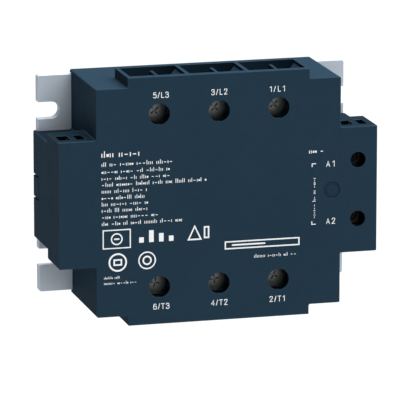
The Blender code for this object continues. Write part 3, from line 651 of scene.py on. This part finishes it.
def rounded(points, times=3):
    """Cuts the corners off a line again and again, keeping its ends."""
    points = [Vector(point) for point in points]
    for _ in range(times):
        cut = [points[0]]
        for here, there in zip(points, points[1:]):
            cut += [here.lerp(there, 0.25), here.lerp(there, 0.75)]
        points = cut + [points[-1]]
    return points


def ribbon(mesh, points, width, closed=False, lift=0.0):
    """A flat band with mitred corners along (x, z) points, just in front of the front face."""
    points = [Vector(point) for point in points]
    y = FRONT_Y - INK_T - lift
    pairs = []
    for index, here in enumerate(points):
        before = here - points[index - 1]
        after = points[(index + 1) % len(points)] - here
        if not closed and index == 0:
            before = after
        if not closed and index == len(points) - 1:
            after = before
        across = Vector((-after.y, after.x)).normalized()
        mitre = (across + Vector((-before.y, before.x)).normalized()).normalized()
        reach = width / 2 / max(0.6, mitre.dot(across))
        pair = []
        for side in (here + mitre * reach, here - mitre * reach):
            pair.append(mesh.verts.new((side.x * MM, y * MM, side.y * MM)))
        pairs.append(pair)
    following = pairs[1:] + pairs[:1] if closed else pairs[1:]
    for (left, right), (next_left, next_right) in zip(pairs, following):
        mesh.faces.new((left, right, next_right, next_left))


def bar(mesh, x0, z0, x1, z1):
    """A solid bar with rounded ends, longer than it is high."""
    radius = (z1 - z0) / 2
    middle = (z0 + z1) / 2
    steps = 6  # faces round each end
    outline = []
    for centre, start in ((x1 - radius, -90), (x0 + radius, 90)):
        for step in range(steps + 1):
            angle = math.radians(start + 180 * step / steps)
            outline.append((centre + radius * math.cos(angle), middle + radius * math.sin(angle)))
    y = FRONT_Y - INK_T
    mesh.faces.new([mesh.verts.new((x * MM, y * MM, z * MM)) for x, z in outline])


def ring(mesh, x, z, radius, width):
    points = []
    steps = 40
    for index in range(steps):
        angle = 2 * math.pi * index / steps
        points.append((x + radius * math.cos(angle), z + radius * math.sin(angle)))
    ribbon(mesh, points, width, closed=True)


def outline_box(mesh, x0, z0, x1, z1, width):
    ribbon(mesh, ((x0, z0), (x1, z0), (x1, z1), (x0, z1)), width, closed=True)


def dot(mesh, x, z, radius, lift):
    """A small disc that rounds off the end of a stroke."""
    sides = 12
    corners = []
    y = FRONT_Y - INK_T - lift
    for index in range(sides):
        angle = 2 * math.pi * index / sides
        point = (x + radius * math.cos(angle), y, z + radius * math.sin(angle))
        corners.append(mesh.verts.new(Vector(point) * MM))
    mesh.faces.new(corners)


def terminal_number(mesh, text, centre_x, baseline, cap, wide):
    """Generic terminal numbering in plain strokes, centred and as wide as asked."""
    unit = cap - STROKE
    drawn = []
    for sign in text:
        lines = []
        for line in GLYPHS[sign]:
            lines.append(rounded(line[1:]) if line[0] == BENT else [Vector(p) for p in line])
        drawn.append(lines)
    widths = [max(point.x for line in lines for point in line) * unit for lines in drawn]
    gap = (wide - STROKE - sum(widths)) / (len(text) - 1)
    x = centre_x - (wide - STROKE) / 2
    for lines, width in zip(drawn, widths):
        for level, line in enumerate(lines):
            points = [(x + p.x * unit, baseline + STROKE / 2 + p.y * unit) for p in line]
            ribbon(mesh, points, STROKE, lift=LAYER * level)
            for share, (end_x, end_z) in ((0.3, points[0]), (0.6, points[-1])):
                dot(mesh, end_x, end_z, STROKE / 2, LAYER * (level + share))
        x += width + gap


def print_line(mesh, rng, start, end, baseline, cap, upwards=False):
    """A line of small marks in groups, as wide and as heavy as fine print."""
    stroke = 0.14 * cap
    here = start
    left_in_group = rng.randint(3, 8)
    while here + 0.6 * cap < end:
        if left_in_group == 0:
            here += 0.55 * cap
            left_in_group = rng.randint(3, 8)
            continue
        choice = rng.randrange(len(MARKS))
        mark = MARKS[choice]
        points = [(here + u * cap, baseline + v * (cap - stroke)) for u, v in mark]
        if upwards:
            points = [(-z, x) for x, z in points]
        ribbon(mesh, points, 2.4 * stroke if choice == BLOCK else stroke)
        here += (max(u for u, _ in mark) + 0.36) * cap
        left_in_group -= 1


def add_ink(name, mesh, library):
    """Gives flat marks their thickness, which ends just inside the housing."""
    obj = new_object(name, mesh, [library["print"]], ROOT)
    solid = obj.modifiers.new("Ink", "SOLIDIFY")
    solid.thickness = (INK_T + INK_ROOT) * MM
    solid.offset = -1


def terminal_numbers():
    """The number beside each screw, with the middle and the width that each is printed at."""
    numbers = bmesh.new()
    terminal_number(numbers, "5/L3", -18.87, LINE_ROW_Z, POWER_CAP, 5.15)
    terminal_number(numbers, "3/L2", -0.05, LINE_ROW_Z, POWER_CAP, 5.25)
    terminal_number(numbers, "1/L1", 18.7, LINE_ROW_Z, POWER_CAP, 5.0)
    terminal_number(numbers, "6/T3", -18.85, LOAD_ROW_Z, POWER_CAP, 5.3)
    terminal_number(numbers, "4/T2", 0.0, LOAD_ROW_Z, POWER_CAP, 5.4)
    terminal_number(numbers, "2/T1", 18.9, LOAD_ROW_Z, POWER_CAP, 5.05)
    terminal_number(numbers, "A1", 36.2, 7.8, CONTROL_CAP, 2.75)
    terminal_number(numbers, "A2", 36.4, -10.7, CONTROL_CAP, 3.0)
    return numbers


def small_print():
    """The block of fine print, and the short lines elsewhere on the front."""
    rng = random.Random(7)
    marks = bmesh.new()
    for baseline, cap, end in PRINT_ROWS:
        print_line(marks, rng, PRINT_LEFT, end, baseline, cap)
    print_line(marks, rng, -37.2, -31.7, -24.1, 0.95)
    print_line(marks, rng, -37.2, -26.4, -25.9, 1.1)
    print_line(marks, rng, 29.3, 35.1, 12.4, 1.7)
    print_line(marks, rng, 11.5, 25.6, -20.1, 1.3)
    print_line(marks, rng, -8.5, 5.0, -31.4, 1.2, upwards=True)
    return marks


def front_signs():
    """Plain shapes where the real relay has its symbols, and a blank name strip."""
    signs = bmesh.new()
    outline_box(signs, -37.5, -14.3, -28.8, -8.5, 0.36)
    ring(signs, -33.15, -11.4, 1.7, 0.42)
    bar(signs, -34.05, -11.65, -32.25, -11.15)
    for index, high in enumerate((1.7, 3.8, 2.7, 1.7)):
        x = -25.2 + 3.2 * index
        ribbon(signs, ((x, -13.0), (x, -13.0 + high)), 1.5)
    ribbon(signs, ((-10.0, -13.0), (-8.0, -8.8), (-6.0, -13.0)), 0.55, closed=True)
    outline_box(signs, -4.8, -12.6, -3.5, -9.2, 0.5)
    ring(signs, -32.85, -18.9, 2.7, 0.55)
    outline_box(signs, -34.0, -19.7, -31.7, -18.1, 0.5)
    ring(signs, -23.4, -18.8, 2.65, 0.42)
    ring(signs, -23.4, -18.8, 1.25, 0.5)
    # a plain name strip, left blank
    outline_box(signs, 1.95, -16.7, 26.0, -14.5, 0.42)
    bar(signs, 4.0, -15.85, 15.0, -15.35)
    # a bracket beside the control terminals
    ribbon(signs, ((31.5, 9.0), (30.2, 9.0), (30.2, 8.0)), 0.28)
    ribbon(signs, ((31.5, -10.5), (30.2, -10.5), (30.2, -9.5)), 0.28)
    return signs


def print_front(library):
    add_ink("terminal_numbers", terminal_numbers(), library)
    add_ink("small_print", small_print(), library)
    add_ink("front_signs", front_signs(), library)


# ---------------------------------------------------------------- electronics

# The material of each kind of node inside, and how far its edges are rounded
INNER_FINISHES = {
    "terminal_": ("tinned_copper", 0.12),
    "substrate_": ("ceramic", 0.06),
    "thyristor_die_": ("silicon", 0.04),
    "die_strip_": ("copper", 0.08),
    "gate_pin_": ("copper", 0.05),
    "potting_layer": ("potting", 0.15),
    "control_board": ("board", 0.08),
    "optocoupler_": ("epoxy", 0.10),
    "bridge_rectifier": ("epoxy", 0.10),
    "smoothing_capacitor": ("capacitor_sleeve", 0.25),
    "input_resistor": ("resistor", 0.30),
    "status_led": ("led", 0.10),
}


def dress_inner(frame, library):
    """The CAD nodes that stay: each gets its material and softened edges."""
    for name, node in frame["nodes"].items():
        for prefix, (finish, width) in INNER_FINISHES.items():
            if not name.startswith(prefix):
                continue
            node.data.materials.clear()
            node.data.materials.append(library[finish])
            weld = node.modifiers.new("Weld", "WELD")
            weld.merge_threshold = 1e-6
            soften(node, width, segments=2)


# ---------------------------------------------------------------- studio


def build_floor(library):
    mesh = bmesh.new()
    bmesh.ops.create_circle(mesh, cap_ends=True, segments=96, radius=6.0)
    data = bpy.data.meshes.new("floor")
    mesh.to_mesh(data)
    mesh.free()
    data.materials.append(library["floor"])
    floor = bpy.data.objects.new("floor", data)
    floor.location = (0, 0, -0.115)
    bpy.context.scene.collection.objects.link(floor)


def add_light(name, position, size, power):
    """A square soft light that points at the origin."""
    light = bpy.data.lights.new(name, "AREA")
    light.shape = "SQUARE"
    light.size = size
    light.energy = power
    obj = bpy.data.objects.new(name, light)
    obj.location = position
    obj.rotation_euler = (-Vector(position)).to_track_quat("-Z", "Y").to_euler()
    bpy.context.scene.collection.objects.link(obj)


def build_studio(library):
    build_floor(library)
    world = bpy.data.worlds.new("studio")
    world.use_nodes = True
    background = world.node_tree.nodes["Background"]
    background.inputs["Color"].default_value = (0.96, 0.98, 1.0, 1)
    background.inputs["Strength"].default_value = 0.12
    bpy.context.scene.world = world
    add_light("key", (0.75, 0.1, 2.2), 4.0, 244)
    add_light("fill", (0.4, -2.2, 0.6), 1.4, 12)
    bpy.context.scene.view_settings.view_transform = "Standard"


def build_camera():
    """The photograph's viewing angle: 15 degrees to the left of the front and 13 degrees above it."""
    azimuth, elevation = math.radians(AZIMUTH), math.radians(ELEVATION)
    back = Vector(
        (
            math.sin(azimuth) * math.cos(elevation),
            -math.cos(azimuth) * math.cos(elevation),
            math.sin(elevation),
        )
    )
    data = bpy.data.cameras.new("camera")
    data.lens = LENS
    data.sensor_width = SENSOR
    data.clip_start, data.clip_end = 0.05, 20
    camera = bpy.data.objects.new("camera", data)
    camera.location = Vector(CAMERA_AIM) + back * CAMERA_DISTANCE
    camera.rotation_euler = (-back).to_track_quat("-Z", "Y").to_euler()
    bpy.context.scene.collection.objects.link(camera)
    bpy.context.scene.camera = camera


def main():
    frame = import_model()
    library = build_materials()
    dress_housing(frame, library)
    dress_plate(frame, library)
    for key, turn in POWER_TURNS.items():
        dress_screw(frame, library, key, "screw_steel", POWER_SCREW, turn)
        dress_clamp(frame, library, key, POWER_CLAMP_ROUND)
    for key, turn in CONTROL_TURNS.items():
        dress_screw(frame, library, key, "black_screw_painted_shade", CONTROL_SCREW, turn)
        dress_clamp(frame, library, key, CONTROL_CLAMP_ROUND)
    dress_inner(frame, library)
    dress_window(library)
    print_front(library)
    build_studio(library)
    build_camera()


main()
